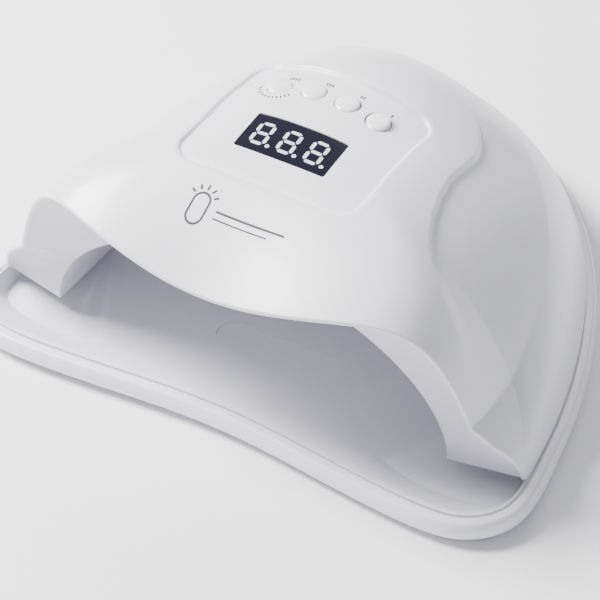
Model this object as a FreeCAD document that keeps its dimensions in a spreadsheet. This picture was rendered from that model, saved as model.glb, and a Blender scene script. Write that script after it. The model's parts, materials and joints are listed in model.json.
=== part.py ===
import FreeCAD, Part
import math
import os

import Sketcher
from FreeCAD import Placement, Rotation, Vector

# A desktop curing lamp: a domed head with a hand tunnel stands in a shallow removable tray.
# Millimetres.  +X is the user's right, -Y the open front, +Z up, z = 0 the table.

doc = FreeCAD.newDocument("curing_lamp")
sheet = doc.addObject("Spreadsheet::Sheet", "Sizes")

SIZES = [
    # dome: the bottom outline, the belt crease above it and the crown
    ("foot_line", -75.0), ("bottom_half_width", 108.5), ("bottom_centre_y", -87.0),
    ("bottom_depth", 187.0), ("bottom_power", 1.87), ("bottom_height", 10.6),
    ("crease_half_width", 92.3), ("crease_centre_y", -60.0), ("crease_depth", 111.0),
    ("crease_front", 150.0), ("crease_low", 35.3), ("crease_high", 64.3), ("flare", 2.8),
    ("crown_height", 97.9), ("crown_fall", 20.9), ("crown_fall_from", 2.0), ("crown_dip", 4.4),
    ("front_power", 7.5), ("rear_power", 2.9), ("back_power", 4.7), ("shell_wall", 2.4),
    # visor edge in plan
    ("visor_reach", 26.0), ("visor_half_width", 102.0), ("visor_back", -77.0),
    # hand tunnel
    ("tunnel_half_width", 80.0), ("tunnel_height", 51.5), ("liner_wall", 1.8),
    ("tunnel_straight", 15.0), ("tunnel_back", 58.0),
    # tray
    ("tray_half_width", 112.5), ("tray_depth", 188.3), ("tray_top", 10.0), ("tray_floor", 3.2),
    ("tray_under", 1.0), ("groove_depth", 1.3), ("pill_length", 53.0), ("pill_width", 14.0),
    ("pill_depth", 1.1), ("pill_y", -52.0),
    ("pad_radius", 7.0), ("pad_height", 1.6), ("pad_sink", 0.6),
    ("post_radius", 5.5), ("magnet_radius", 4.0), ("magnet_thickness", 2.0),
    # control panel
    ("panel_width", 71.0), ("panel_length", 62.0), ("panel_y", -35.2), ("panel_corner", 8.0),
    ("panel_sink", 1.3), ("panel_thickness", 2.0), ("panel_tilt", 4.5),
    ("window_width", 35.4), ("window_length", 17.4), ("window_y", -44.6),
    ("window_sink", 0.35), ("window_thickness", 1.6),
    # keys
    ("key_radius", 4.4), ("key_inner_x", 6.7), ("key_outer_x", 19.6),
    ("key_inner_y", -18.2), ("key_outer_y", -19.6), ("key_travel", 0.6), ("key_gap", 0.35),
    # boards and switches
    ("board_width", 61.0), ("board_length", 52.5), ("board_thickness", 1.6), ("board_drop", 13.5),
    ("switch_side", 6.0), ("switch_height", 3.6), ("plunger_radius", 1.7),
    # lights
    ("strip_width", 12.0), ("strip_length", 84.0), ("strip_thickness", 1.6), ("light_radius", 3.1),
    ("light_pitch", 11.5), ("lens_radius", 2.5),
    # power inlet
    ("inlet_radius", 5.6), ("inlet_bore", 2.8), ("inlet_depth", 9.5), ("inlet_pin", 1.05),
    ("inlet_height", 24.0), ("inlet_face_y", 89.0),
    # screws
    ("screw_radius", 1.4), ("screw_head", 2.8), ("boss_radius", 4.0),
]
for row, (alias, value) in enumerate(SIZES, start=1):
    sheet.set("A%d" % row, alias)
    sheet.set("B%d" % row, "%g" % value)
    sheet.setAlias("B%d" % row, alias)
doc.recompute()


def size(alias):
    return float(getattr(sheet, alias))


def cell(text):
    """Expression text in which every size name stands for its cell of the sheet."""
    words = []
    for word in text.split():
        words.append("Sizes." + word if word[0].isalpha() else word)
    return " ".join(words)


NODES = {}


def node(name, feature):
    """Give a finished sub-part its name."""
    feature.Label = name
    NODES[name] = feature
    return feature


def shaped(name, shape, place=None):
    """A free-form sub-part from Part's own functions."""
    feature = doc.addObject("Part::Feature", name)
    feature.Shape = shape
    if place is not None:
        feature.Placement = place
    return feature


def primitive(kind, name, sizes, place=None):
    """A Part primitive whose sizes are expressions of the sheet."""
    feature = doc.addObject("Part::" + kind, name)
    for prop, text in sizes.items():
        feature.setExpression(prop, cell(text))
    if place is not None:
        feature.Placement = place
    return feature


def boolean(kind, name, base, tool):
    feature = doc.addObject("Part::" + kind, name)
    feature.Base = base
    feature.Tool = tool
    return feature


def joined(name, features):
    feature = doc.addObject("Part::MultiFuse", name)
    feature.Shapes = features
    return feature


def group(name, features):
    """Several like solids that share one node."""
    feature = doc.addObject("Part::Compound", name)
    feature.Links = features
    return feature


def plane_of(body, role):
    return [f for f in body.Origin.OriginFeatures if f.Role == role][0]


def revolved(name, profile, place=None):
    """A PartDesign body turned about its own Z from (radius, height) corners.

    Each corner is a pair of expressions; the profile closes back to its first corner.
    """
    body = doc.addObject("PartDesign::Body", name)
    sketch = body.newObject("Sketcher::SketchObject", name + "_profile")
    sketch.AttachmentSupport = [(plane_of(body, "XZ_Plane"), "")]
    sketch.MapMode = "FlatFace"
    count = len(profile)
    for i in range(count):
        sketch.addGeometry(Part.LineSegment(Vector(i, 0.3 * i * i, 0),
                                            Vector(i + 1, 0.3 * (i + 1) ** 2, 0)), False)
    for i in range(count):
        sketch.addConstraint(Sketcher.Constraint("Coincident", i, 2, (i + 1) % count, 1))
    for i, (radius, height) in enumerate(profile):
        for axis, text in (("DistanceX", radius), ("DistanceY", height)):
            k = sketch.addConstraint(Sketcher.Constraint(axis, -1, 1, i, 1, 1.0 + i))
            sketch.setExpression("Constraints[%d]" % k, cell(text))
    doc.recompute()
    turn = body.newObject("PartDesign::Revolution", name + "_turn")
    turn.Profile = sketch
    turn.ReferenceAxis = (sketch, ["V_Axis"])
    turn.Angle = 360
    doc.recompute()
    if place is not None:
        body.Placement = place
    return body


def padded(name, outline, height, holes=(), place=None):
    """A PartDesign body: a rectangle (width, length) about its own Z, padded up, with round holes.

    outline and height are expressions; holes are (x, y, radius) expressions.
    """
    body = doc.addObject("PartDesign::Body", name)
    sketch = body.newObject("Sketcher::SketchObject", name + "_outline")
    sketch.AttachmentSupport = [(plane_of(body, "XY_Plane"), "")]
    sketch.MapMode = "FlatFace"
    corners = [(-5, -4), (5, -4), (5, 4), (-5, 4)]
    for i in range(4):
        a, b = corners[i], corners[(i + 1) % 4]
        sketch.addGeometry(Part.LineSegment(Vector(a[0], a[1], 0), Vector(b[0], b[1], 0)), False)
    for i in range(4):
        sketch.addConstraint(Sketcher.Constraint("Coincident", i, 2, (i + 1) % 4, 1))
    for i in (0, 2):
        sketch.addConstraint(Sketcher.Constraint("Horizontal", i))
    for i in (1, 3):
        sketch.addConstraint(Sketcher.Constraint("Vertical", i))
    sketch.addConstraint(Sketcher.Constraint("Symmetric", 0, 1, 2, 1, -1, 1))
    k = sketch.addConstraint(Sketcher.Constraint("DistanceX", 0, 1, 0, 2, 10.0))
    sketch.setExpression("Constraints[%d]" % k, cell(outline[0]))
    k = sketch.addConstraint(Sketcher.Constraint("DistanceY", 1, 1, 1, 2, 8.0))
    sketch.setExpression("Constraints[%d]" % k, cell(outline[1]))
    for x, y, radius in holes:
        g = sketch.addGeometry(Part.Circle(Vector(0.1, 0.1, 0), Vector(0, 0, 1), 0.5), False)
        k = sketch.addConstraint(Sketcher.Constraint("DistanceX", -1, 1, g, 3, 0.1))
        sketch.setExpression("Constraints[%d]" % k, cell(x))
        k = sketch.addConstraint(Sketcher.Constraint("DistanceY", -1, 1, g, 3, 0.1))
        sketch.setExpression("Constraints[%d]" % k, cell(y))
        k = sketch.addConstraint(Sketcher.Constraint("Radius", g, 0.5))
        sketch.setExpression("Constraints[%d]" % k, cell(radius))
    doc.recompute()
    pad = body.newObject("PartDesign::Pad", name + "_pad")
    pad.Profile = sketch
    pad.setExpression("Length", cell(height))
    doc.recompute()
    if place is not None:
        body.Placement = place
    return body


def placed_copies(name, master, places):
    """One node of like solids: the master's shape at each placement."""
    solids = [master.Shape.copy() for _ in places]
    for solid, place in zip(solids, places):
        solid.Placement = place
    return shaped(name, Part.makeCompound(solids))


# ---------------------------------------------------------------- surface of the dome

def smooth(value):
    value = min(1.0, max(0.0, value))
    return value * value * (3 - 2 * value)


def crease_z(y):
    """Height of the belt crease: level beside the opening, climbing to the back."""
    start = size("foot_line") + 22.0
    end = size("crease_centre_y") + size("crease_depth")
    way = min(1.0, max(0.0, (y - start) / (end - start)))
    rise = size("crease_high") - size("crease_low")
    return size("crease_low") + rise * (1.62 * way - 0.62 * way * way)


def crown_z(x, y):
    """Height of the middle of the dome: falls to the front, where it is slightly dished."""
    back = min(1.1, max(0.0, size("crown_fall_from") - y) / 100.0)
    dish = math.exp(-(x / 32.0) ** 2) * smooth((20.0 - y + size("foot_line")) / 48.0)
    return size("crown_height") - size("crown_fall") * back ** 2.65 - size("crown_dip") * dish


def dome_z(x, y, inset=0.0):
    """Height of the dome above the crease; inset gives the inner skin."""
    along = y - size("crease_centre_y")
    depth = (size("crease_depth") if along > 0 else size("crease_front")) - 1.25 * inset
    u = abs(x) / (size("crease_half_width") - 1.25 * inset)
    v = abs(along) / depth
    reach = math.hypot(u, v) + 1e-9
    power = size("front_power") + (size("rear_power") - size("front_power")) * smooth(
        (y - size("foot_line") + 20.0) / 50.0)
    if along > 0:
        power += (size("back_power") - power) * (v / reach) ** 8
    low = crease_z(y) - 0.2 * inset
    return low + (crown_z(x, y) - inset - low) * (1 - min(reach, 1.0) ** power)


TURNS = [math.radians(-90 + 7.5 * i) for i in range(25)]
REACHES = [0.1, 0.2, 0.3, 0.4, 0.5, 0.6, 0.7, 0.78, 0.85, 0.91, 0.96, 1.0]
DROPS = [0.33, 0.67, 1.0]


def dome_point(reach, turn, inset):
    """A point above the crease, reach 0 at the middle of the panel and 1 at the crease."""
    depth = size("crease_depth") if turn > 0 else size("crease_front")
    x = (size("crease_half_width") - 1.25 * inset) * max(0.0, round(math.cos(turn), 9))
    y = size("crease_centre_y") + (depth - 1.25 * inset) * math.sin(turn)
    x, y = x * reach, size("panel_y") + (y - size("panel_y")) * reach
    return Vector(x, y, dome_z(x, y, inset))


def skirt_point(drop, turn, inset, floor_z):
    """A point of the flared skirt, drop 0 at the crease and 1 at the bottom."""
    c, s = max(0.0, round(math.cos(turn), 9)), math.sin(turn)
    power = 2.0 / size("bottom_power") if s > 0 else 1.0
    depth = (size("bottom_depth") if s > 0 else size("crease_front") + 20.0) - 1.2 * inset
    low = Vector((size("bottom_half_width") - 1.2 * inset) * c ** power,
                 size("bottom_centre_y") + depth * math.copysign(abs(s) ** power, s), floor_z)
    swell = size("flare") * 4 * drop * (1 - drop)
    return dome_point(1.0, turn, inset) * (1 - drop) + low * drop + Vector(c, s, 0) * swell


def mirrored(face):
    """A face of the right half and its mirror image across the middle plane."""
    return [face, face.mirror(Vector(0, 0, 0), Vector(1, 0, 0))]


def patch(grid):
    """Smooth face through a grid of points."""
    surface = Part.BSplineSurface()
    surface.interpolate(grid)
    return surface.toShape()


def open_curve(points):
    curve = Part.BSplineCurve()
    curve.interpolate(Points=points)
    return Part.Wire([curve.toShape()])


def level_face(faces, z):
    """Flat face closed by the edges that lie at one height."""
    edges = [e for f in faces for e in f.Edges
             if abs(e.BoundBox.ZMin - z) < 0.02 and abs(e.BoundBox.ZMax - z) < 0.02]
    for edge in edges:
        edge.fixTolerance(0.001)
    return Part.Face(Part.Wire(Part.sortEdges(edges)[0]))


def dome_solid(inset, floor_z):
    """The whole dome as one solid, before the front is cut away."""
    crown = [[dome_point(r, t, inset) for t in TURNS] for r in REACHES]
    cap_z = crown[0][12].z
    crown[0] = [Vector(p.x, p.y, cap_z) for p in crown[0]]
    dome = patch(crown)
    crease = max(dome.Edges, key=lambda e: e.Length)
    lines = [Part.Wire([crease])]
    lines += [open_curve([skirt_point(d, t, inset, floor_z) for t in TURNS]) for d in DROPS]
    skirt = Part.makeLoft(lines, False, False).Faces[0]
    faces = mirrored(dome) + mirrored(skirt)
    faces += [level_face(faces[:2], cap_z), level_face(faces[2:], floor_z)]
    shape = Part.Compound(faces)
    shape.sewShape(0.05)
    solid = Part.Solid(shape.Shells[0])
    if solid.Volume < 0:
        solid.reverse()
    return solid


def closed_curve(points):
    curve = Part.BSplineCurve()
    curve.interpolate(Points=points, PeriodicFlag=True)
    return Part.Wire([curve.toShape()])


def visor_y(x):
    """Plan line of the visor edge."""
    span = max(0.0, 1 - (abs(x) / size("visor_half_width")) ** 2.5)
    return size("visor_back") - size("visor_reach") * span ** 1.4


def front_cutter(shift=0.0):
    """Everything in front of the visor edge, moved back by shift."""
    right = [Vector(x, visor_y(x) + shift, 0) for x in (0, 15, 30, 45, 60, 74, 86, 95, 100)]
    corner = [Vector(104.5, size("foot_line") + 1.5 + shift, 0),
              Vector(108.3, size("foot_line") + 5.5 + shift, 0),
              Vector(110.8, size("foot_line") + 12 + shift, 0),
              Vector(112.5, size("foot_line") + 22 + shift, 0)]
    half = right + corner
    points = [Vector(-p.x, p.y, 0) for p in reversed(half[1:])] + half
    curve = Part.BSplineCurve()
    curve.interpolate(Points=points)
    a, b = points[0], points[-1]
    far = Part.makePolygon([b, Vector(140, b.y, 0), Vector(140, -260, 0), Vector(-140, -260, 0),
                            Vector(-140, a.y, 0), a])
    face = Part.Face(Part.Wire([curve.toShape()] + far.Edges))
    return face.extrude(Vector(0, 0, 140))


def rounded_plate(width, length, corner, centre_y, low, high):
    """Upright prism of a rounded rectangle."""
    box = Part.makeBox(width, length, high - low, Vector(-width / 2, centre_y - length / 2, low))
    upright = [e for e in box.Edges if abs(e.tangentAt(e.FirstParameter).z) > 0.9]
    return box.makeFillet(corner, upright) if corner > 0 else box


def crown_slab(sink, thickness, half_x=42.0, y_from=-74.0, y_to=6.0):
    """Plate that follows the crown, its upper face sunk below the dome's surface."""
    grid = []
    for i in range(9):
        y = y_from + (y_to - y_from) * i / 8.0
        grid.append([Vector(x, y, dome_z(x, y) - sink)
                     for x in [half_x * k / 6.0 for k in range(-6, 7)]])
    surface = Part.BSplineSurface()
    surface.interpolate(grid)
    return surface.toShape().extrude(Vector(0, 0, -thickness))


# ---------------------------------------------------------------- tunnel

def arch(y, scale, grow, low):
    """Closed outline of the tunnel at one station: a flattened arch on a flat bottom."""
    half = size("tunnel_half_width") * scale + grow
    rise = size("tunnel_height") * (0.35 + 0.65 * scale) + grow
    base = size("bottom_height")
    points = []
    for i in range(13):
        turn = math.pi * i / 12
        c, s = math.cos(turn), math.sin(turn)
        x = half * math.copysign(abs(c) ** (2 / 1.95), c)
        points.append(Vector(x, y, base + rise * abs(s) ** (2 / 1.95)))
    curve = Part.BSplineCurve()
    curve.interpolate(Points=points)
    a, b = points[0], points[-1]
    legs = Part.makePolygon([b, Vector(b.x, y, low), Vector(a.x, y, low), a])
    return Part.Wire([curve.toShape()] + legs.Edges)


def tunnel_solid(grow, low, front, back):
    """Straight run of the arch, then a run that narrows to the back wall."""
    straight = size("tunnel_straight")
    run = Part.makeLoft([arch(front, 1, grow, low), arch(straight, 1, grow, low)], True, True)
    stations = [(straight, 1.0), (straight + 15, 0.93), (straight + 29, 0.8), (back, 0.58)]
    taper = Part.makeLoft([arch(y, k, grow, low) for y, k in stations], True, False)
    return run.fuse(taper)


def arch_point(turn, grow=0.0):
    """Point on the tunnel's arch, turn measured from straight up, and the way out of it."""
    half = size("tunnel_half_width") + grow
    rise = size("tunnel_height") + grow

    def at(a):
        c, s = math.sin(a), math.cos(a)
        return Vector(half * math.copysign(abs(c) ** (2 / 1.95), c), 0,
                      size("bottom_height") + rise * abs(s) ** (2 / 1.95))

    along = at(turn + 0.01) - at(turn - 0.01)
    out = Vector(-along.z, 0, along.x)
    out.normalize()
    return at(turn), out


def facing(base, out, back=Vector(0, 0, 1)):
    """Placement that turns +Z to a direction."""
    return Placement(base, Rotation(back, out))


# ---------------------------------------------------------------- head: shell

bottom = size("bottom_height")
wall = size("shell_wall")
outer = dome_solid(0.0, bottom)
inner = dome_solid(wall, bottom - 5.0)
panel_hole = rounded_plate(size("panel_width"), size("panel_length"), size("panel_corner"),
                           size("panel_y"), 60, 120)
shell = outer.cut(inner).cut(front_cutter()).cut(panel_hole)

# ledge that carries the control panel around the shell's opening
under = size("panel_sink") + size("panel_thickness") + 0.25
ledge = crown_slab(wall - 0.5, under - wall + 2.3, 46, -80, 10)
ledge = ledge.common(rounded_plate(size("panel_width") + 7, size("panel_length") + 7,
                                   size("panel_corner") + 3, size("panel_y"), 60, 120))
ledge = ledge.cut(rounded_plate(size("panel_width") - 6, size("panel_length") - 6,
                                size("panel_corner") - 2, size("panel_y"), 60, 120))
above_panel = crown_slab(-4.0, 4.0 + under).common(panel_hole)
shell = shell.fuse(ledge.cut(above_panel))

BOSSES = [(91.0, -48.0), (87.5, -8.0), (22.0, 74.0)]
BOSSES += [(-x, y) for x, y in BOSSES]
flange_top = bottom + 2.2
skin = dome_solid(wall * 0.5, bottom - 5.0)
for x, y in BOSSES:
    boss = Part.makeCylinder(size("boss_radius"), 60, Vector(x, y, flange_top + 0.05))
    bore = Part.makeCylinder(size("screw_radius"), 12, Vector(x, y, flange_top))
    shell = shell.fuse(boss.common(skin)).cut(bore)
collar = Part.makeCylinder(size("inlet_radius") + 2.2, 10,
                           Vector(0, size("inlet_face_y") - 9.4, size("inlet_height")),
                           Vector(0, 1, 0))
shell = shell.fuse(collar.cut(inner.common(Part.makeBox(60, 60, 60, Vector(-30, 50, 0)))))
shell = shell.cut(Part.makeCylinder(size("inlet_radius") + 0.15, 26,
                                    Vector(0, size("inlet_face_y") - 18, size("inlet_height")),
                                    Vector(0, 1, 0)))
node("upper_shell", shaped("upper_shell", shell))

# ---------------------------------------------------------------- head: liner

room = dome_solid(wall + 0.12, bottom - 5.0)
room = room.cut(Part.makeBox(300, 420, 12, Vector(-150, -270, bottom - 12)))
front = size("foot_line")
vault_room = tunnel_solid(0.0, 0.0, front - 30, size("tunnel_back"))
vault = tunnel_solid(size("liner_wall"), bottom, front + 0.6,
                     size("tunnel_back") + size("liner_wall"))
flange = room.common(Part.makeBox(240, 220, flange_top - bottom, Vector(-120, -110, bottom)))
flange = flange.cut(Part.makeBox(240, 60, 20, Vector(-120, front - 58.6, 0)))


def visor_curve(pull, drop):
    """Points just inside the visor edge from the right foot over the top to the left foot."""
    right = [Vector(101.5, 0, bottom - 1), Vector(97.6, 0, 21.5), Vector(94.2, 0, 29.5),
             Vector(90.8, 0, 37.0)]
    for x in (87.0, 82.0, 76.0, 68.0, 57.0, 43.0, 29.0, 14.0, 0.0):
        right.append(Vector(x, 0, dome_z(x, visor_y(x), wall) + 0.8 - drop))
    right = [Vector(p.x, visor_y(p.x) + pull, p.z) for p in right]
    return right + [Vector(-p.x, p.y, p.z) for p in reversed(right[:-1])]


def arch_curve(pull):
    half = [math.radians(90.0 * (1 - k / 12.0)) for k in range(13)]
    points = [arch_point(a)[0] + Vector(0, front + pull, 0) for a in half]
    points[0].z = bottom - 1
    return points + [Vector(-p.x, p.y, p.z) for p in reversed(points[:-1])]


rim, throat = visor_curve(-0.5, 0.0), arch_curve(0.0)
hollow = []
for a, b in zip(rim, throat):
    middle = (a + b) * 0.5
    away = Vector(middle.x, 0, middle.z - 20)
    away.normalize()
    amount = smooth((middle.z - 12.0) / 26.0)
    hollow.append(middle + (away * 1.6 + Vector(0, 2.5, 0)) * amount)
face = Part.makeLoft([open_curve(rim), open_curve(hollow), open_curve(throat)], False, False)
fascia = face.makeOffsetShape(-1.8, 0.01, fill=True)
if fascia.BoundBox.YMax < face.BoundBox.YMax + 0.5:
    fascia = face.makeOffsetShape(1.8, 0.01, fill=True)
if fascia.Volume < 0:
    fascia.reverse()
fascia = fascia.common(room).cut(front_cutter(0.8)).cut(vault_room)
liner = vault.fuse(flange).cut(vault_room).fuse(fascia)

# lights stand in five rows along the arch, each row on its own strip of board
ROWS = [math.radians(a) for a in (-63, -36, 0, 36, 63)]
ROW_Y = -27.0
PER_ROW = 7
light_places, strip_places = [], []
for turn in ROWS:
    base, out = arch_point(turn)
    strip_places.append(facing(base + out * (size("liner_wall") + 1.5) + Vector(0, ROW_Y, 0), out))
    for k in range(PER_ROW):
        along = (k - (PER_ROW - 1) / 2.0) * size("light_pitch")
        light_places.append(facing(base + Vector(0, ROW_Y + along, 0), out))
for place in light_places:
    way = Part.makeCylinder(size("light_radius") + 0.12, 8, Vector(0, 0, -4))
    way.Placement = place
    liner = liner.cut(way)

# hand sensor in the roof near the opening
sensor_base, sensor_out = arch_point(math.radians(18))
sensor_place = facing(sensor_base + Vector(0, front + 9, 0), sensor_out)
way = Part.makeCylinder(2.75, 8, Vector(0, 0, -4))
way.Placement = sensor_place
liner = liner.cut(way)

# screw holes and magnet seats in the flange
for x, y in BOSSES:
    liner = liner.cut(Part.makeCylinder(size("screw_radius") + 0.25, 4, Vector(x, y, bottom - 1)))
    liner = liner.cut(Part.makeCylinder(size("screw_head") + 0.2, 1.42, Vector(x, y, bottom - 0.1)))
POSTS = [(88.0, -28.0), (-88.0, -28.0), (42.0, 66.5), (-42.0, 66.5)]
cup_top = bottom + size("magnet_thickness") + 1.4
for x, y in POSTS:
    cup = Part.makeCylinder(size("magnet_radius") + 1.3, cup_top - bottom, Vector(x, y, bottom))
    seat = Part.makeCylinder(size("magnet_radius") + 0.05, size("magnet_thickness") + 0.3,
                             Vector(x, y, bottom - 0.05))
    liner = liner.fuse(cup.common(room).cut(vault_room)).cut(seat)

# posts on the roof carry the driver board
DRIVER = (0.0, 17.0, 70.0)
driver_posts = [(DRIVER[0] + i * 22.0, DRIVER[1] + j * 12.0) for i in (-1, 1) for j in (-1, 1)]
for x, y in driver_posts:
    post = Part.makeCylinder(2.6, 30, Vector(x, y, DRIVER[2] - 30)).cut(vault_room)
    tap = Part.makeCylinder(1.0, 6, Vector(x, y, DRIVER[2] - 6))
    liner = liner.fuse(post.Solids[0]).cut(tap)
node("inner_liner", shaped("inner_liner", liner))

package = revolved("light_package", [
    ("0", "-0.5"), ("light_radius", "-0.5"), ("light_radius", "liner_wall + 1.45"),
    ("0", "liner_wall + 1.45")])
lens = revolved("light_lens", [
    ("0", "-2.3"), ("lens_radius * 0.55", "-2.0"), ("lens_radius * 0.9", "-1.3"),
    ("lens_radius", "-0.52"), ("0", "-0.52")])
node("light_packages", placed_copies("light_packages", package, light_places))
node("light_lenses", placed_copies("light_lenses", lens, light_places))
strip = padded("light_strip", ("strip_width", "strip_length"), "strip_thickness")
node("light_boards", placed_copies("light_boards", strip, strip_places))

sensor = revolved("sensor_master", [("0", "-0.9"), ("1.6", "-0.7"), ("2.6", "-0.1"),
                                    ("2.6", "5.5"), ("0", "5.5")])
sensor.Placement = sensor_place
node("hand_sensor", sensor)
sensor_board = padded("sensor_board", ("9", "13"), "1.2")
sensor_board.Placement = facing(sensor_place.Base + sensor_out * 5.55, sensor_out)
node("sensor_board", sensor_board)

screw_profile = [("0", "0"), ("screw_head", "0"), ("screw_head", "1.2"),
                 ("screw_radius - 0.02", "1.25"), ("screw_radius - 0.02", "8"), ("0", "9")]
screw = revolved("screw_master", screw_profile)
node("liner_screws", placed_copies("liner_screws", screw, [
    Placement(Vector(x, y, bottom + 0.02), Rotation()) for x, y in BOSSES]))
magnet = primitive("Cylinder", "magnet_master",
                   {"Radius": "magnet_radius", "Height": "magnet_thickness"})
doc.recompute()
node("head_magnets", placed_copies("head_magnets", magnet, [
    Placement(Vector(x, y, bottom + 0.2), Rotation()) for x, y in POSTS]))

# ---------------------------------------------------------------- head: control panel

tilt = Rotation(Vector(1, 0, 0), size("panel_tilt"))
up = tilt.multVec(Vector(0, 0, 1))


def on_panel(x, y, lift=0.0):
    """Placement on the panel's upper face, its Z square to the tilted panel."""
    base = Vector(x, y, dome_z(x, y) - size("panel_sink"))
    return Placement(base + up * lift, tilt)


board_base = on_panel(0, size("panel_y"), -size("board_drop")).Base
KEYS = [(-size("key_outer_x"), size("key_outer_y")), (-size("key_inner_x"), size("key_inner_y")),
        (size("key_inner_x"), size("key_inner_y")), (size("key_outer_x"), size("key_outer_y"))]
key_places = [on_panel(x, y) for x, y in KEYS]


def above_board(place):
    """Distance from the board's upper face up to a placement."""
    return (place.Base - board_base).dot(up) - size("board_thickness")


panel = crown_slab(size("panel_sink"), size("panel_thickness"))
panel = panel.common(rounded_plate(size("panel_width") - 0.3, size("panel_length") - 0.3,
                                   size("panel_corner") - 0.15, size("panel_y"), 60, 120))
panel = panel.cut(rounded_plate(size("window_width") + 0.2, size("window_length") + 0.2, 1.0,
                                size("window_y"), 60, 120))
for place in key_places:
    way = Part.makeCylinder(size("key_radius") + size("key_gap"), 16, Vector(0, 0, -8))
    way.Placement = place
    panel = panel.cut(way)
board_posts = [(i * 27.0, j * 23.0) for i in (-1, 1) for j in (-1, 1)]
for x, y in board_posts:
    spot = board_base + tilt.multVec(Vector(x, y, size("board_thickness") + 0.03))
    rise = (on_panel(spot.x, spot.y).Base - spot).dot(up) - size("panel_thickness") / 2
    post = Part.makeCylinder(2.6, rise)
    tap = Part.makeCylinder(1.05, min(6.0, rise - 0.3), Vector(0, 0, -0.1))
    post.Placement = tap.Placement = Placement(spot, tilt)
    panel = panel.fuse(post).cut(tap)
node("control_panel", shaped("control_panel", panel))

window = crown_slab(size("panel_sink") + size("window_sink"), size("window_thickness"))
window = window.common(rounded_plate(size("window_width"), size("window_length"), 0.9,
                                     size("window_y"), 60, 120))


def segment(length, width, place):
    """One bar of a figure, pointed at both ends."""
    a, b = length / 2.0, width / 2.0
    outline = [Vector(-a, 0, 0), Vector(-a + b, b, 0), Vector(a - b, b, 0), Vector(a, 0, 0),
               Vector(a - b, -b, 0), Vector(-a + b, -b, 0), Vector(-a, 0, 0)]
    bar = Part.Face(Part.makePolygon(outline)).extrude(Vector(0, 0, 60))
    bar.Placement = place
    return bar


def figure(x, y, tall, wide, stroke):
    """Seven bars and a point, standing upright at one place of the window."""
    half, bars = tall / 2.0, []
    for level in (-half, 0.0, half):
        bars.append(segment(wide - stroke * 0.6, stroke, Placement(
            Vector(x, y + level, 60), Rotation())))
    for side in (-wide / 2.0, wide / 2.0):
        for level in (-half / 2.0, half / 2.0):
            bars.append(segment(half - stroke * 0.6, stroke, Placement(
                Vector(x + side, y + level, 60), Rotation(Vector(0, 0, 1), 90))))
    bars.append(Part.makeCylinder(stroke * 0.6, 60, Vector(x + wide / 2.0 + 1.9, y - half, 60)))
    return bars


ink = crown_slab(size("panel_sink") + size("window_sink"), 0.3)
bars = []
for k in (-1, 0, 1):
    for bar in figure(k * 10.6 - 0.6, size("window_y"), 9.4, 5.2, 1.3):
        bars.append(bar.common(ink))
figures = Part.makeCompound([b.Solids[0] for b in bars])
window = window.cut(figures)
node("display_window", shaped("display_window", window))
node("display_figures", shaped("display_figures", figures))

window_place = on_panel(0, size("window_y"))
sheet.set("A99", "module_height")
sheet.set("B99", "%g" % (above_board(window_place) - size("window_sink")
                         - size("window_thickness") - 2.0))
sheet.setAlias("B99", "module_height")
for row, (alias, place) in enumerate((("inner_stem", key_places[1]), ("outer_stem", key_places[0])),
                                     start=100):
    sheet.set("A%d" % row, alias)
    sheet.set("B%d" % row, "%g" % (above_board(place) - size("switch_height") - 1.3))
    sheet.setAlias("B%d" % row, alias)
doc.recompute()

board = padded("control_board", ("board_width", "board_length"), "board_thickness",
               holes=[(str(i * 27), str(j * 23), "1.3") for i in (-1, 1) for j in (-1, 1)])
board.Placement = Placement(board_base, tilt)
node("control_board", board)
module = padded("display_module", ("window_width - 2", "window_length - 2"), "module_height")
shift = (window_place.Base - board_base) - up * (window_place.Base - board_base).dot(up)
module.Placement = Placement(board_base + shift + up * (size("board_thickness") + 0.02), tilt)
node("display_module", module)

for k, place in enumerate(key_places):
    stem = "outer_stem" if k in (0, 3) else "inner_stem"
    cap = revolved("key_%d" % (k + 1), [
        ("0", "1.15"), ("key_radius * 0.35", "1.08"), ("key_radius * 0.7", "0.82"),
        ("key_radius * 0.92", "0.5"), ("key_radius", "0.15"), ("key_radius", "-3.8"),
        ("key_radius + 1.1", "-3.8"), ("key_radius + 1.1", "-4.6"), ("2.2", "-4.6"),
        ("2.2", "-1 * " + stem), ("0", "-1 * " + stem)])
    cap.Placement = place
    node("key_%d" % (k + 1), cap)
    plunger = revolved("key_plunger_%d" % (k + 1), [
        ("0", "0"), ("plunger_radius", "0"), ("plunger_radius", "-2.3"), ("0", "-2.3")])
    plunger.Placement = Placement(place.Base - up * (size(stem) + 0.01), tilt)
    node("key_plunger_%d" % (k + 1), plunger)
switch = padded("switch_master", ("switch_side", "switch_side"), "switch_height")
well = primitive("Cylinder", "switch_well", {"Radius": "plunger_radius + 0.15", "Height": "3"},
                 Placement(Vector(0, 0, 1.4), Rotation()))
switch_cut = boolean("Cut", "switch_cut", switch, well)
doc.recompute()
switch_places = []
for place in key_places:
    offset = place.Base - board_base
    foot = board_base + offset - up * (offset.dot(up) - size("board_thickness") - 0.02)
    switch_places.append(Placement(foot, tilt))
node("key_switches", placed_copies("key_switches", switch_cut, switch_places))

board_screw = revolved("board_screw_master", [
    ("0", "-1.6"), ("2.1", "-1.6"), ("2.1", "-0.3"), ("1.02", "-0.25"), ("1.02", "3.4"),
    ("0", "3.8")])
screws = []
for i in (-1, 1):
    for j in (-1, 1):
        screws.append(Placement(board_base + tilt.multVec(Vector(i * 27, j * 23, 0.2)), tilt))
node("board_screws", placed_copies("board_screws", board_screw, screws))

# ---------------------------------------------------------------- head: driver and inlet

inlet_turn = Rotation(Vector(0, 0, 1), Vector(0, 1, 0))

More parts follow.
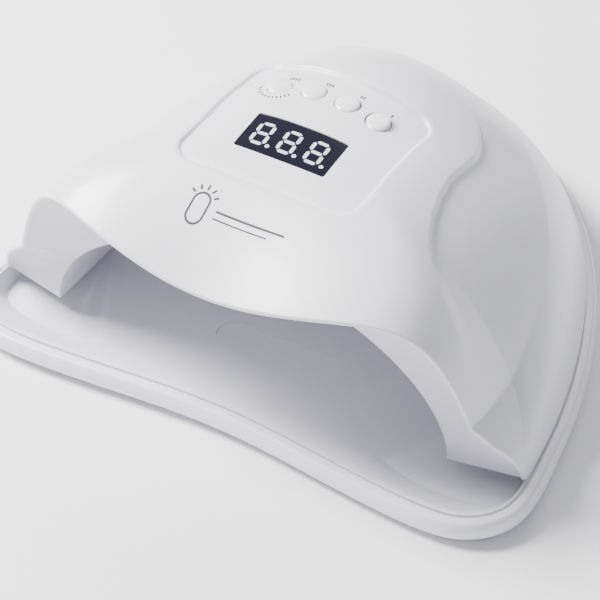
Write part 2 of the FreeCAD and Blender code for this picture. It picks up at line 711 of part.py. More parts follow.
driver = padded("driver_board", ("52", "32"), "1.6", holes=[
    (str(i * 22), str(j * 12), "1.3") for i in (-1, 1) for j in (-1, 1)])
driver.Placement = Placement(Vector(DRIVER[0], DRIVER[1], DRIVER[2] + 0.02), Rotation())
node("driver_board", driver)
driver_top = DRIVER[2] + 1.65
parts = []
for x, y in ((-12, 10), (-1, 10)):
    parts.append(primitive("Cylinder", "capacitor", {"Radius": "4", "Height": "9"},
                           Placement(Vector(x, DRIVER[1] + y - 8, driver_top), Rotation())))
for x in (11.5,):
    parts.append(primitive("Cylinder", "coil", {"Radius": "5", "Height": "6"},
                           Placement(Vector(x, DRIVER[1] - 4, driver_top), Rotation())))
for x in (-16, -6, 4):
    parts.append(primitive("Box", "power_switch", {"Length": "6", "Width": "5", "Height": "2.3"},
                           Placement(Vector(x, DRIVER[1] - 14, driver_top), Rotation())))
node("driver_parts", group("driver_parts", parts))
small = revolved("driver_screw_master", [
    ("0", "1.7"), ("1.9", "1.7"), ("1.9", "0.05"), ("0.98", "0"), ("0.98", "-5"), ("0", "-5.4")])
node("driver_screws", placed_copies("driver_screws", small, [
    Placement(Vector(x, y, DRIVER[2] + 1.65), Rotation()) for x, y in driver_posts]))

inlet = revolved("inlet_body", [
    ("inlet_bore", "0"), ("inlet_radius", "0"), ("inlet_radius", "-12.5"), ("0", "-12.5"),
    ("0", "-1 * inlet_depth"), ("inlet_bore", "-1 * inlet_depth")],
    Placement(Vector(0, size("inlet_face_y"), size("inlet_height")), inlet_turn))
node("power_inlet", inlet)
contact = revolved("inlet_contact", [
    ("0", "-0.8"), ("inlet_pin * 0.6", "-0.8"), ("inlet_pin", "-1.4"),
    ("inlet_pin", "-1 * inlet_depth + 0.02"), ("0", "-1 * inlet_depth + 0.02")],
    Placement(Vector(0, size("inlet_face_y"), size("inlet_height")), inlet_turn))
node("inlet_contact", contact)

# ---------------------------------------------------------------- tray

FRONT_X = (0.0, 22.0, 43.0, 64.0, 86.0)


def tray_half():
    """Right half of the tray's rim line, from the middle of the front to the middle of the back."""
    y0 = size("foot_line")
    points = [Vector(x, y0 - 21.5 - 2.75 * (1 - math.cos(math.pi * min(x, 80.0) / 80.0)), 0)
              for x in FRONT_X]
    for turn in (67.5, 45.0, 22.5):
        a = math.radians(turn)
        points.append(Vector(86 + 26.2 * math.cos(a), y0 - 3 - 24 * math.sin(a), 0))
    power = 2 / 1.87
    for turn in (3.5, 10, 18, 27, 36, 46, 56, 66, 78, 90):
        a = math.radians(turn)
        x = size("tray_half_width") * max(0.0, math.cos(a)) ** power
        points.append(Vector(x if turn < 90 else 0.0,
                             y0 - 12 + size("tray_depth") * math.sin(a) ** power, 0))
    return points


def both_sides(half):
    """Close a right half (first and last point on the middle line) with its mirror image."""
    return half + [Vector(-p.x, p.y, p.z) for p in reversed(half[1:-1])]


def tray_line(inset, z):
    """The rim line moved inward by inset, at height z."""
    points = both_sides(tray_half())
    moved = []
    for i, p in enumerate(points):
        along = points[(i + 1) % len(points)] - points[i - 1]
        inward = Vector(-along.y, along.x, 0)
        inward.normalize()
        moved.append(p + inward * inset + Vector(0, 0, z))
    return moved


def floor_line(z):
    """Edge of the level floor: far back at the middle of the front, close to the rim at the sides."""
    half = [p for p in tray_line(6.5, z)[:len(tray_half())]]
    y0 = size("foot_line")
    back = [(0.0, 12.0), (22.0, 9.6), (42.0, 3.2), (60.0, -6.3), (80.0, -9.3),
            (93.0, -8.0), (100.5, -5.0), (104.6, 0.5), (105.3, 6.5)]
    for i, (x, y) in enumerate(back):
        half[i] = Vector(x, y0 + y, z)
    return both_sides(half)


top, under = size("tray_top"), size("tray_under")
levels = [(3.2, under), (1.0, under + 0.9), (-0.7, under + 2.6), (-1.25, under + 4.6),
          (-0.8, top - 1.8), (-0.1, top - 0.5), (0.8, top)]
tray = Part.makeLoft([closed_curve(tray_line(i, z)) for i, z in levels], True, False)
if tray.Volume < 0:
    tray.reverse()
low = top - size("groove_depth")
groove = Part.Face(closed_curve(tray_line(3.0, low))).extrude(Vector(0, 0, 5))
groove = groove.cut(Part.Face(closed_curve(tray_line(4.3, low - 0.1))).extrude(Vector(0, 0, 6)))
tray = tray.cut(groove)
basin = Part.makeLoft([closed_curve(floor_line(size("tray_floor"))),
                       closed_curve(tray_line(4.9, top + 0.02))], True, True)
tray = tray.cut(basin)
pill = rounded_plate(size("pill_length"), size("pill_width"), size("pill_width") / 2 - 0.02,
                     size("pill_y"), size("tray_floor") - size("pill_depth"), top)
tray = tray.cut(pill)
post_top = bottom - 0.2
for x, y in POSTS:
    post = Part.makeCylinder(size("post_radius"), post_top - size("tray_floor") + 0.5,
                             Vector(x, y, size("tray_floor") - 0.5))
    seat = Part.makeCylinder(size("magnet_radius") + 0.05, size("magnet_thickness") + 0.15,
                             Vector(x, y, post_top - size("magnet_thickness") - 0.15))
    tray = tray.fuse(post).cut(seat)
PADS = [(84.0, -62.0), (-84.0, -62.0), (46.0, 50.0), (-46.0, 50.0)]
for x, y in PADS:
    tray = tray.cut(Part.makeCylinder(size("pad_radius") + 0.05, size("pad_sink"),
                                      Vector(x, y, under)))
node("tray", shaped("tray", tray))
node("tray_magnets", placed_copies("tray_magnets", magnet, [
    Placement(Vector(x, y, post_top - size("magnet_thickness") - 0.1), Rotation())
    for x, y in POSTS]))
pad = revolved("pad_master", [("0", "0"), ("pad_radius - 0.5", "0"), ("pad_radius", "0.5"),
                              ("pad_radius", "pad_height"), ("0", "pad_height")])
node("tray_pads", placed_copies("tray_pads", pad, [
    Placement(Vector(x, y, 0), Rotation()) for x, y in PADS]))

# ---------------------------------------------------------------- check and write

doc.recompute()
for feature in doc.Objects:
    if "Invalid" in feature.State or "Error" in feature.State:
        raise RuntimeError("%s is in state %s" % (feature.Name, feature.State))
for name, feature in NODES.items():
    shape = feature.Shape
    if shape.isNull() or not shape.isValid() or not shape.Solids:
        raise RuntimeError("%s has no valid solid" % name)
    if min(solid.Volume for solid in shape.Solids) <= 0:
        raise RuntimeError("%s holds an inside-out solid" % name)
basin_room = Part.makeBox(120, 88, 5, Vector(-60, -58, size("tray_floor") + 0.4))
if NODES["tray"].Shape.common(basin_room).Volume > 0.01:
    raise RuntimeError("the tray's basin isn't open")
os.makedirs("parts", exist_ok=True)
for name, feature in NODES.items():
    feature.Shape.exportStep("parts/%s.step" % name)
    print("%-18s %3d solid(s) %9.0f mm3" % (name, len(feature.Shape.Solids), feature.Shape.Volume))
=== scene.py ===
import json
import math

import bpy
import numpy as np
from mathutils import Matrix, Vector


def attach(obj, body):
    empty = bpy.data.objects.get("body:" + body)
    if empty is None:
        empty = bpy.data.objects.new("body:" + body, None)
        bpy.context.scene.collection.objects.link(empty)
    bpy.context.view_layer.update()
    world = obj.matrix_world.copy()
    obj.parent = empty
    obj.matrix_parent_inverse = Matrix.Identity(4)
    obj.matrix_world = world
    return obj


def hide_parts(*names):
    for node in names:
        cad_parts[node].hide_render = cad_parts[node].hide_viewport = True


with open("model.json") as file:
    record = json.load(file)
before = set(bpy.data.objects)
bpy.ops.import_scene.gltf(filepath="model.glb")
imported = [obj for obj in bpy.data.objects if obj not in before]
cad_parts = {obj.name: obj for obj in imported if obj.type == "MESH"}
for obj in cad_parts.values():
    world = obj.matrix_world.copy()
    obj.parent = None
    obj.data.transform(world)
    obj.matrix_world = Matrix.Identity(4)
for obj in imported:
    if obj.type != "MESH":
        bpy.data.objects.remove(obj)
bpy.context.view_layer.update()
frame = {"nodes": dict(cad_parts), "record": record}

MM = 0.001
CENTRE_Y = -35.2                 # middle of the control panel
PANEL_HOLE = (35.5, 31.0, 8.0)   # half width, half depth and corner radius
CREASE_X, CREASE_Y = 92.3, -60.0  # half width of the belt crease, and where it is widest
REAR, FRONT = 111.0, 150.0       # reach of the crease's two half ellipses along y
BOTTOM_Z = 10.6                  # underside of the head above the table
STEP = 1.8                       # fall from the raised middle to the rest of the dome
WALL = 2.2                       # thickness of the dome's rolled edge
GRAIN_PER_METRE = 900.0          # a moulded grain about 1.1 mm from bump to bump


# ------------------------------------------------------------------ surfaces, in millimetres

def smooth(value):
    """Smooth step: 3v^2 - 2v^3 with v held between 0 and 1."""
    value = np.clip(value, 0.0, 1.0)
    return value * value * (3 - 2 * value)


def crease_z(y):
    """Height of the belt crease: level beside the opening, climbing to the back."""
    way = np.clip((y + 53.0) / 104.0, 0.0, 1.0)
    return 35.3 + 29.0 * (1.62 * way - 0.62 * way * way)


def crown_z(x, y):
    """Height over the middle of the dome: it falls to the front and is slightly dished there."""
    back = np.clip((2.0 - y) / 100.0, 0.0, 1.1)
    dish = np.exp(-(x / 32.0) ** 2) * smooth((20.0 - y - 75.0) / 48.0)
    return 97.9 - 20.9 * back ** 2.65 - 4.4 * dish


def dome_z(x, y, inset=0.0):
    """Height of the dome inside the crease: crease + (crown - crease)(1 - reach^power)."""
    along = y - CREASE_Y
    depth = np.where(along > 0, REAR, FRONT) - 1.25 * inset
    u, v = np.abs(x) / (CREASE_X - 1.25 * inset), np.abs(along) / depth
    reach = np.hypot(u, v) + 1e-9
    power = 7.5 - 4.6 * smooth((y + 95.0) / 50.0)
    power = np.where(along > 0, power + (4.7 - power) * (v / reach) ** 8, power)
    low = crease_z(y) - 0.2 * inset
    return low + (crown_z(x, y) - inset - low) * (1 - np.minimum(reach, 1.0) ** power)


def dome_path(reach, turn, inset=0.0):
    """Point of the outer skin: reach 0 to 1 from the panel's middle to the crease, 1 to 2 down
    the flared skirt, which is a straight line to the bottom edge plus a parabola of swell."""
    c, s = np.maximum(np.cos(turn), 0.0), np.sin(turn)
    rear = s > 0
    crease_x = (CREASE_X - 1.25 * inset) * c
    crease_y = CREASE_Y + (np.where(rear, REAR, FRONT) - 1.25 * inset) * s
    inside = np.minimum(reach, 1.0)
    x = crease_x * inside
    y = CENTRE_Y + (crease_y - CENTRE_Y) * inside
    z = dome_z(x, y, inset)
    drop = np.clip(reach - 1.0, 0.0, 1.0)
    power = np.where(rear, 2.0 / 1.87, 1.0)
    low_x = (108.5 - 1.2 * inset) * c ** power
    depth = np.where(rear, 187.0, 170.0) - 1.2 * inset
    low_y = -87.0 + depth * np.sign(s) * np.abs(s) ** power
    swell = 2.8 * 4 * drop * (1 - drop)
    x = x * (1 - drop) + low_x * drop + c * swell
    y = y * (1 - drop) + low_y * drop + s * swell
    return np.stack([x, y, z * (1 - drop) + BOTTOM_Z * drop], -1)


def visor_y(x):
    """Plan line of the visor edge: -77 - 26 (1 - (|x|/102)^2.5)^1.4."""
    span = np.maximum(0.0, 1 - (np.abs(x) / 102.0) ** 2.5)
    return -77.0 - 26.0 * span ** 1.4


def front_y(x):
    """The visor edge, carried on round the outer corner of each foot."""
    x = np.abs(x)
    corner = np.interp(x, [100, 104.5, 108.3, 110.8, 112.5], [-77.0, -73.5, -69.5, -63.0, -53.0])
    return np.where(x < 100, visor_y(x), corner)


def plate_distance(x, y, half_x, half_y, corner, centre_y):
    """Signed distance to a rounded rectangle, negative inside."""
    qx = np.abs(x) - half_x + corner
    qy = np.abs(y - centre_y) - half_y + corner
    return np.hypot(np.maximum(qx, 0), np.maximum(qy, 0)) + np.minimum(
        np.maximum(qx, qy), 0) - corner


# ------------------------------------------------------------------ meshes

def mesh_object(name, points, faces, body, material):
    """Object at the origin from points in millimetres and faces of 3 or 4 corners."""
    mesh = bpy.data.meshes.new(name)
    mesh.from_pydata((np.asarray(points) * MM).tolist(), [], np.asarray(faces).tolist())
    mesh.update()
    mesh.polygons.foreach_set("use_smooth", [True] * len(mesh.polygons))
    made = bpy.data.objects.new(name, mesh)
    bpy.context.scene.collection.objects.link(made)
    mesh.materials.append(material)
    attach(made, body)
    return made


def grid_faces(rows, columns, closed):
    """Quads of a rows x columns grid; closed joins the last column to the first."""
    i, j = np.meshgrid(np.arange(rows - 1), np.arange(columns if closed else columns - 1),
                       indexing="ij")
    k = (j + 1) % columns
    return np.stack([i * columns + j, i * columns + k, (i + 1) * columns + k,
                     (i + 1) * columns + j], -1).reshape(-1, 4)


# ------------------------------------------------------------------ materials

def linear(code):
    """Linear RGBA of an sRGB hex code."""
    parts = [int(code[i:i + 2], 16) / 255.0 for i in (1, 3, 5)]
    return [p / 12.92 if p <= 0.04045 else ((p + 0.055) / 1.055) ** 2.4 for p in parts] + [1.0]


def add(tree, kind, **inputs):
    """A new node of one kind with its input constants set."""
    made = tree.nodes.new(kind)
    for key, value in inputs.items():
        made.inputs[key.replace("_", " ")].default_value = value
    return made


def finish_of(name, colour, rough, metal=0.0, coat=0.0, grain=0.0):
    """A moulded or metal finish: base colour, roughness and a fine grain in the surface."""
    made = bpy.data.materials.new(name)
    made.use_nodes = True
    tree = made.node_tree
    shader = tree.nodes["Principled BSDF"]
    shader.inputs["Base Color"].default_value = linear(colour)
    shader.inputs["Roughness"].default_value = rough
    shader.inputs["Metallic"].default_value = metal
    shader.inputs["Coat Weight"].default_value = coat
    shader.inputs["Coat Roughness"].default_value = 0.12
    if grain:
        place = add(tree, "ShaderNodeTexCoord")
        noise = add(tree, "ShaderNodeTexNoise", Scale=GRAIN_PER_METRE, Detail=3.0)
        bump = add(tree, "ShaderNodeBump", Strength=grain, Distance=0.0001)
        tree.links.new(place.outputs["Object"], noise.inputs["Vector"])
        tree.links.new(noise.outputs["Fac"], bump.inputs["Height"])
        tree.links.new(bump.outputs["Normal"], shader.inputs["Normal"])
    return made


M = {
    # bright, faintly cool white with a soft broad highlight and a fine grain
    "white_abs": finish_of("moulded_abs_white", "#E9E9EE", 0.34, coat=0.18, grain=0.05),
    # duller than the dome (real), and the same plastic given a darker colour as painted shade, so
    # the tunnel reads as the inside
    "liner_white": finish_of("moulded_abs_matt_painted_shade", "#DCDBE4", 0.5, grain=0.06),
    # whiter and glossier than the dome, so a key catches a small sharp light
    "key_white": finish_of("moulded_abs_key", "#F1F1F3", 0.25, coat=0.3),
    # near-black blue gloss for the figures to stand out from
    "smoked_window": finish_of("smoked_acrylic", "#0D0C1C", 0.12, coat=0.2),
    # pale silver that reads against the window; it gives off no light
    "lit_figures": finish_of("figure_silver", "#D9DAE2", 0.35),
    # dull black behind the window
    "module_black": finish_of("moulded_abs_black", "#141416", 0.5),
    # dark green with a slight sheen
    "board_green": finish_of("glass_epoxy_board", "#1F5637", 0.45),
    # soft grey metal shine
    "strip_aluminium": finish_of("aluminium_strip", "#C4C4C8", 0.35, metal=1.0),
    # off-white, a little warmer than the lenses
    "package_white": finish_of("light_package", "#E2E2DE", 0.35),
    # an opaque stand-in for clear silicone: a small pale glossy dot
    "lens_clear": finish_of("clear_silicone", "#D8D9EA", 0.15, coat=0.4),
    # mid-grey metal with a broad highlight
    "screw_steel": finish_of("zinc_plated_steel", "#A5A5A9", 0.32, metal=1.0),
    # brighter and sharper than the screws
    "magnet_nickel": finish_of("nickel_plate", "#C0C0C0", 0.2, metal=1.0),
    # mid-grey with no shine
    "pad_rubber": finish_of("grey_rubber", "#8E8E93", 0.8, grain=0.1),
    # warm yellow metal in the middle of the inlet
    "contact_brass": finish_of("brass_contact", "#C7A65A", 0.3, metal=1.0),
    # a glossy black bead
    "sensor_black": finish_of("sensor_epoxy", "#120F16", 0.2, coat=0.4),
}
# flat navy ink with no shine on the white
PRINT = finish_of("pad_print_navy", "#141130", 0.6)

NODE_SLOTS = {part["node"]: part["material_slot"] for part in frame["record"]["subparts"]}


# ------------------------------------------------------------------ the dome's skin

SWEEP = np.array([(36, 19), (41, 14.5), (45.6, 7.7), (48, 2.5), (49.2, -2), (49.7, -9),
                  (49.7, -16), (49.8, -23.5), (51.3, -33), (53.6, -41.7), (56.5, -49),
                  (61.4, -58), (70, -66)], float)
SWEEP_ANGLE = np.arctan2(SWEEP[:, 1] - CENTRE_Y, SWEEP[:, 0])[::-1]
SWEEP_REACH = np.hypot(SWEEP[:, 1] - CENTRE_Y, SWEEP[:, 0])[::-1]


def crossing(value, steps):
    """First place along the last axis where value falls below zero, by linear steps."""
    below = value < 0
    k = np.where(below.any(-1), below.argmax(-1), value.shape[-1] - 1)
    k = np.maximum(k, 1)
    a = np.take_along_axis(value, (k - 1)[..., None], -1)[..., 0]
    b = np.take_along_axis(value, k[..., None], -1)[..., 0]
    share = np.where(below.any(-1), np.clip(a / np.where(a - b == 0, 1, a - b), 0, 1), 1.0)
    return steps[k - 1] + (steps[k] - steps[k - 1]) * share


def skin():
    """The dome's skin as one grid: columns run round the whole edge, rows from the bevel about
    the panel over the crown and the skirt to the rolled edge and a short way up inside.

    Each column is dome_path at one turn.  The raised middle lowers everything outside the sweep
    line by STEP times a smooth step across 1 mm, fading at both ends of the line and, as
    exp(-(distance / 26)^2), away from it.  The rolled edge is half an ellipse, tip -
    out WALL / 2 (1 - cos a) + along 0.9 sin a.  It follows the skirt's own normal, so where
    the skirt flares it ends lower than the tip.
    """
    dense = np.radians(np.concatenate([
        np.linspace(-90, -10, 104)[:-1], np.linspace(-10, 6, 104)[:-1], np.linspace(6, 90, 106)]))
    steps = np.linspace(0.05, 2.0, 1600)
    turn = dense[:, None]
    path = dome_path(steps[None, :], turn)
    last = crossing(path[..., 1] - front_y(path[..., 0]), steps)
    first = crossing(-plate_distance(path[..., 0], path[..., 1], *PANEL_HOLE, CENTRE_Y), steps)
    edge = dome_path(np.ones_like(dense), dense)
    angle = np.arctan2(edge[:, 1] - CENTRE_Y, edge[:, 0])
    span = np.hypot(edge[:, 1] - CENTRE_Y, edge[:, 0])
    sweep = np.interp(angle, SWEEP_ANGLE, SWEEP_REACH) / span
    low_end, high_end = SWEEP_ANGLE[0], SWEEP_ANGLE[-1]
    fade = smooth((angle - low_end + 0.02) / 0.1) * smooth((high_end + 0.02 - angle) / 0.3)
    half = 0.5 / span
    sweep = np.clip(sweep, first + 2.2 * half, last - 3 * half)

    u = np.linspace(0, 1, 22)[None, :]
    before = first[:, None] + (sweep - half - first)[:, None] * u
    across = (sweep - half)[:, None] + 2 * half[:, None] * np.linspace(0, 1, 10)[None, 1:]
    start = sweep + half
    natural = start + (last - start) * 0.55
    middle = np.where(last > 1, np.minimum(1.0, natural), natural)
    after = start[:, None] + (middle - start)[:, None] * np.linspace(0, 1, 54)[None, 1:]
    skirt = middle[:, None] + (last - middle)[:, None] * np.linspace(0, 1, 40)[None, 1:]
    reach = np.concatenate([before, across, after, skirt], 1)
    points = dome_path(reach, turn)
    outside = (reach - (sweep - half)[:, None]) / (2 * half[:, None])
    away = np.maximum(0.0, (reach - (sweep + half)[:, None]) * span[:, None])
    step = STEP * fade[:, None] * smooth(outside) * np.exp(-(away / 26.0) ** 2)
    points[..., 2] -= step

    # bevel down to the panel
    rim = points[:, 0]
    inward = rim[:, :2] - np.array([0.0, CENTRE_Y])
    inward = -inward / np.linalg.norm(inward, axis=1)[:, None]
    bevel = []
    for go, fall in ((2.0, 2.4), (1.75, 1.5), (1.35, 1.2), (0.7, 0.62), (0.3, 0.16)):
        ring = rim.copy()
        ring[:, :2] += inward * go
        ring[:, 2] = dome_z(ring[:, 0], ring[:, 1]) - fall
        bevel.append(ring)
    points = np.concatenate([np.stack(bevel, 1), points], 1)

    # rolled edge and a return up inside
    tip = points[:, -1]
    along = tip - points[:, -3]
    along /= np.linalg.norm(along, axis=1)[:, None]
    side = np.gradient(tip, axis=0)
    side /= np.linalg.norm(side, axis=1)[:, None] + 1e-12
    out = np.cross(side, along)
    out /= np.linalg.norm(out, axis=1)[:, None]
    out *= np.sign((out * (tip - np.array([0, -20.0, 20.0]))).sum(1))[:, None]
    across = np.cross(out, side)
    across /= np.linalg.norm(across, axis=1)[:, None]
    along = across * np.sign((across * along).sum(1))[:, None]
    roll = []
    for a in np.radians([25, 50, 75, 100, 125, 150, 180]):
        roll.append(tip - out * WALL / 2 * (1 - math.cos(a)) + along * 0.9 * math.sin(a))
    for back in (1.5, 4.0, 7.0):
        roll.append(tip - out * WALL - along * back)
    points = np.concatenate([points, np.stack(roll, 1)], 1)

    at_front = (last < 1.999) & (dense < math.radians(12))
    corner = np.flatnonzero(at_front)[-1]
    hem = (tip - out * WALL * 0.8 + along * 0.1)[:corner + 1]
    base_edge = (tip - out * WALL * 0.8)[corner:]
    left = points[::-1][1:-1] * np.array([-1.0, 1, 1])
    ring = np.concatenate([points, left], 0).transpose(1, 0, 2)
    rows, columns = ring.shape[:2]
    return ring.reshape(-1, 3), grid_faces(rows, columns, True), hem, base_edge


def arch(share, scale):
    """Half the tunnel's outline: a flattened arch, at shares of its length from foot to top."""
    a = np.linspace(0, math.pi / 2, 400)
    x = 80.0 * scale * np.cos(a) ** (2 / 1.95)
    z = BOTTOM_Z + 51.5 * (0.35 + 0.65 * scale) * np.sin(a) ** (2 / 1.95)
    run = np.concatenate([[0], np.cumsum(np.hypot(np.diff(x), np.diff(z)))])
    return np.interp(share * run[-1], run, x), np.interp(share * run[-1], run, z)


def tunnel_scale(y):
    """Width of the tunnel as a share of its mouth: full to y = 15, then narrowing to the back."""
    way = np.clip((y - 15.0) / 43.0, 0.0, 1.0)
    return 1.0 - 0.42 * way ** 2


def liner(hem):
    """The cove and the tunnel as one grid.

    Columns join the visor's inner edge to the tunnel's arch at the same share of their lengths.
    Rows run over the cove, a straight line plus a parabola of hollow that fades out at the feet,
    then along the tunnel and in across its back wall.
    """
    hem = hem[::-1]
    length = np.concatenate([[0], np.cumsum(np.linalg.norm(np.diff(hem, axis=0), axis=1))])
    share = length / length[-1]
    mouth_x, mouth_z = arch(share, 1.0)
    throat = np.stack([mouth_x, np.full(len(hem), -75.3), mouth_z], 1)
    middle = (hem + throat) / 2
    away = middle * np.array([1, 0, 1]) - np.array([0, 0, 20.0])
    away /= np.linalg.norm(away, axis=1)[:, None]
    amount = smooth((middle[:, 2] - 12.0) / 26.0)[:, None]
    hollow = (away * 1.6 + np.array([0, 2.2, 0])) * amount
    rows = [hem * (1 - u) + throat * u + 4 * u * (1 - u) * hollow for u in np.linspace(0, 1, 26)]
    for y in np.concatenate([[-74.9, -74.2, -72.5], np.linspace(-68, 15, 14),
                             np.linspace(18, 57.5, 16)]):
        x, z = arch(share, float(tunnel_scale(y)))
        rows.append(np.stack([x, np.full(len(hem), y), z], 1))
    last = rows[-1]
    for k in (0.97, 0.85, 0.6, 0.3, 0.02):
        rows.append(np.stack([last[:, 0] * k, np.full(len(hem), 58.0),
                              BOTTOM_Z + (last[:, 2] - BOTTOM_Z) * k], 1))
    right = np.stack(rows, 1)
    ring = np.concatenate([right, right[::-1][1:] * np.array([-1.0, 1, 1])], 0).transpose(1, 0, 2)
    count, columns = ring.shape[:2]
    return ring.reshape(-1, 3), grid_faces(count, columns, False)


def flange(edge):
    """The level plate under the head: six rows of straight lines at z 10.9, from the dome's
    bottom edge to the tunnel's outline at the same share of their lengths."""
    length = np.concatenate([[0], np.cumsum(np.linalg.norm(np.diff(edge, axis=0), axis=1))])
    share = length / length[-1]
    y = np.linspace(-75.3, 58.0, 120)
    inner = np.stack([80.0 * tunnel_scale(y), y], 1)
    inner = np.concatenate([inner, [[0.0, 58.0]]])
    run = np.concatenate([[0], np.cumsum(np.hypot(*np.diff(inner, axis=0).T))])
    ix, iy = (np.interp(share * run[-1], run, inner[:, k]) for k in (0, 1))
    rows = []
    for u in np.linspace(0, 1, 6):
        rows.append(np.stack([edge[:, 0] * (1 - u) + ix * u, edge[:, 1] * (1 - u) + iy * u,
                              np.full(len(edge), 10.9)], 1))
    right = np.stack(rows, 1)
    ring = np.concatenate([right, right[::-1][1:] * np.array([-1.0, 1, 1])], 0).transpose(1, 0, 2)
    count, columns = ring.shape[:2]
    return ring.reshape(-1, 3), grid_faces(count, columns, False)


shell_points, shell_faces, hem, base_edge = skin()
liner_points, liner_faces = liner(hem)
# the cove, the tunnel and the plate under the head take the liner finish, whose darker colour is
# painted shade
cove = mesh_object("liner_skin", liner_points, liner_faces, "lamp_head",
                   M["liner_white"])
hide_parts("inner_liner")
plate_points, plate_faces = flange(base_edge)
mesh_object("flange_skin", plate_points, plate_faces, "lamp_head",
            M["liner_white"])
shell = mesh_object("dome_skin", shell_points, shell_faces, "lamp_head",
                    M["white_abs"])
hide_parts("upper_shell")


# ------------------------------------------------------------------ printed marks

def ribbon(lines, width, sink, lift):
    """Ribbons along plan lines: each line is cut every 0.35 mm or less, moved width / 2 to both
    sides square to its own direction, and set at z = dome_z(x, y) - sink + lift."""
    points, faces = [], []
    for line in lines:
        line = np.asarray(line, float)
        length = np.concatenate([[0], np.cumsum(np.hypot(*np.diff(line, axis=0).T))])
        count = max(3, int(length[-1] / 0.35) + 2)
        at = np.linspace(0, length[-1], count)
        x, y = np.interp(at, length, line[:, 0]), np.interp(at, length, line[:, 1])
        dx, dy = np.gradient(x), np.gradient(y)
        norm = np.hypot(dx, dy) + 1e-12
        nx, ny = -dy / norm * width / 2, dx / norm * width / 2
        base = len(points)
        for s in (-1, 1):
            px, py = x + s * nx, y + s * ny
            pz = dome_z(px, py) - sink + lift
            points.extend(np.stack([px, py, pz], 1).tolist())
        for k in range(count - 1):
            faces.append([base + k, base + k + 1, base + count + k + 1, base + count + k])
    return points, faces


def arc(x, y, radius, start, end, count=24):
    """Points of a circle between two angles in degrees."""
    a = np.radians(np.linspace(start, end, count))
    return np.stack([x + radius * np.cos(a), y + radius * np.sin(a)], 1)


# a nail outline with rays, and two rules beside it
nail = [arc(-15, -77.6, 3.0, 0, 180), [(-18, -77.6), (-18, -82.2)], [(-12, -77.6), (-12, -82.2)],
        arc(-15, -82.2, 3.0, 180, 360)]
nail += [[(-15 + 4.2 * math.cos(a), -77.6 + 4.2 * math.sin(a)),
          (-15 + 6.0 * math.cos(a), -77.6 + 6.0 * math.sin(a))]
         for a in np.radians([30, 60, 90, 120, 150])]
p, f = ribbon(nail + [[(-8.5, -78.8), (18, -78.8)]], 0.75, 0.0, 0.05)
mesh_object("front_mark", p, f, "lamp_head", PRINT)
p, f = ribbon([[(-8.5, -81.2), (12.5, -81.2)]], 0.5, 0.0, 0.05)
mesh_object("front_rule", p, f, "lamp_head", PRINT)

# one to four ticks above the keys, and an arc of ticks round the first key
ticks = []
for count, x, y in ((4, -17.2, -13.2), (3, -3.8, -11.8), (2, 9.2, -11.8), (1, 21.6, -13.2)):
    for k in range(count):
        px = x + (k - (count - 1) / 2.0) * 1.1
        ticks.append([(px, y - 0.8), (px, y + 0.8)])
for a in np.radians(np.arange(195, 330, 12)):
    ticks.append([(-19.6 + 6.4 * math.cos(a), -19.6 + 6.4 * math.sin(a)),
                  (-19.6 + 7.6 * math.cos(a), -19.6 + 7.6 * math.sin(a))])
p, f = ribbon(ticks, 0.55, 1.3, 0.05)
mesh_object("key_marks", p, f, "lamp_head", PRINT)


# ------------------------------------------------------------------ the CAD pieces that show

def smooth_by_angle(limit):
    """Modifier nodes that keep every edge sharper than limit degrees as a crisp edge."""
    tree = bpy.data.node_groups.new("smooth_by_angle", "GeometryNodeTree")
    tree.interface.new_socket("Geometry", in_out="INPUT", socket_type="NodeSocketGeometry")
    tree.interface.new_socket("Geometry", in_out="OUTPUT", socket_type="NodeSocketGeometry")
    start, end = tree.nodes.new("NodeGroupInput"), tree.nodes.new("NodeGroupOutput")
    angle = tree.nodes.new("GeometryNodeInputMeshEdgeAngle")
    below = tree.nodes.new("ShaderNodeMath")
    below.operation = "LESS_THAN"
    below.inputs[1].default_value = math.radians(limit)
    shade = tree.nodes.new("GeometryNodeSetShadeSmooth")
    shade.domain = "EDGE"
    tree.links.new(angle.outputs["Unsigned Angle"], below.inputs[0])
    tree.links.new(start.outputs[0], shade.inputs["Geometry"])
    tree.links.new(below.outputs[0], shade.inputs["Shade Smooth"])
    tree.links.new(shade.outputs[0], end.inputs[0])
    return tree


BY_ANGLE = smooth_by_angle(28)

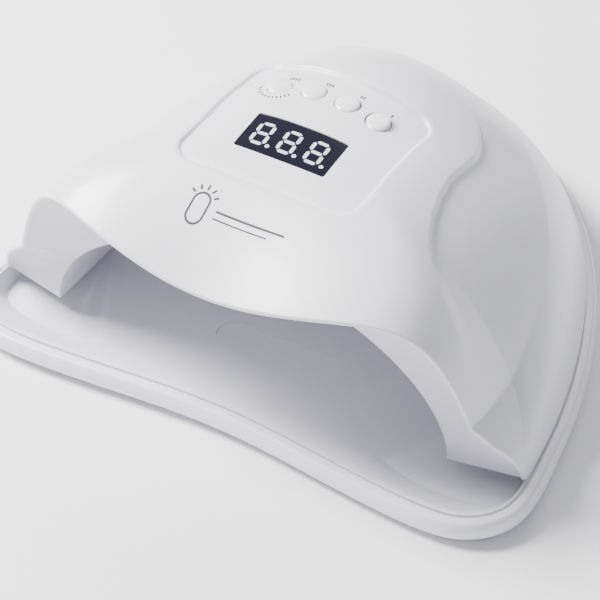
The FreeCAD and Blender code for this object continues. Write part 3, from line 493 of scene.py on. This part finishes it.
# seams are welded and edges sharper than the limit stay crisp
for name, piece in frame["nodes"].items():
    slot = NODE_SLOTS.get(name, "white_abs")
    piece.data.materials.clear()
    piece.data.materials.append(M[slot])
    weld = piece.modifiers.new("weld", "WELD")
    weld.merge_threshold = 1e-6
    piece.data.polygons.foreach_set("use_smooth", [True] * len(piece.data.polygons))
    piece.modifiers.new("smooth_by_angle", "NODES").node_group = BY_ANGLE


# ------------------------------------------------------------------ floor, light and camera

floor_mesh = bpy.data.meshes.new("floor")
floor_mesh.from_pydata([(-6, -6, 0), (6, -6, 0), (6, 6, 0), (-6, 6, 0)], [], [(0, 1, 2, 3)])
floor = bpy.data.objects.new("floor", floor_mesh)
bpy.context.scene.collection.objects.link(floor)
# nearly white and matt, so that only the soft shadow shows
floor_mesh.materials.append(finish_of("pale_floor", "#F6F6F8", 0.9))

world = bpy.data.worlds.new("studio")
bpy.context.scene.world = world
world.use_nodes = True
world.node_tree.nodes["Background"].inputs["Color"].default_value = linear("#EAEAF4")
world.node_tree.nodes["Background"].inputs["Strength"].default_value = 0.6


def area_light(name, place, target, width, power):
    """A square light that faces target; width in metres, power in watts."""
    data = bpy.data.lights.new(name, "AREA")
    data.shape, data.size, data.energy = "SQUARE", width, power
    made = bpy.data.objects.new(name, data)
    bpy.context.scene.collection.objects.link(made)
    made.location = place
    made.rotation_mode = "QUATERNION"
    made.rotation_quaternion = (Vector(target) - Vector(place)).to_track_quat("-Z", "Y")
    return made


area_light("top_light", (-0.85, -0.2, 1.0), (0, 0, 0.05), 0.5, 62)
area_light("back_light", (-0.1, 0.9, 0.8), (0, 0, 0.05), 0.6, 5)

camera_data = bpy.data.cameras.new("camera")
camera_data.lens, camera_data.sensor_width = 144.0, 36.0
camera_data.clip_start, camera_data.clip_end = 0.05, 30.0
camera = bpy.data.objects.new("camera", camera_data)
bpy.context.scene.collection.objects.link(camera)
camera.location = (0.33325, -0.59328, 0.59066)
camera.rotation_mode = "QUATERNION"
camera.rotation_quaternion = Vector((-0.3858, 0.6420, -0.6626)).to_track_quat("-Z", "Y")
bpy.context.scene.camera = camera
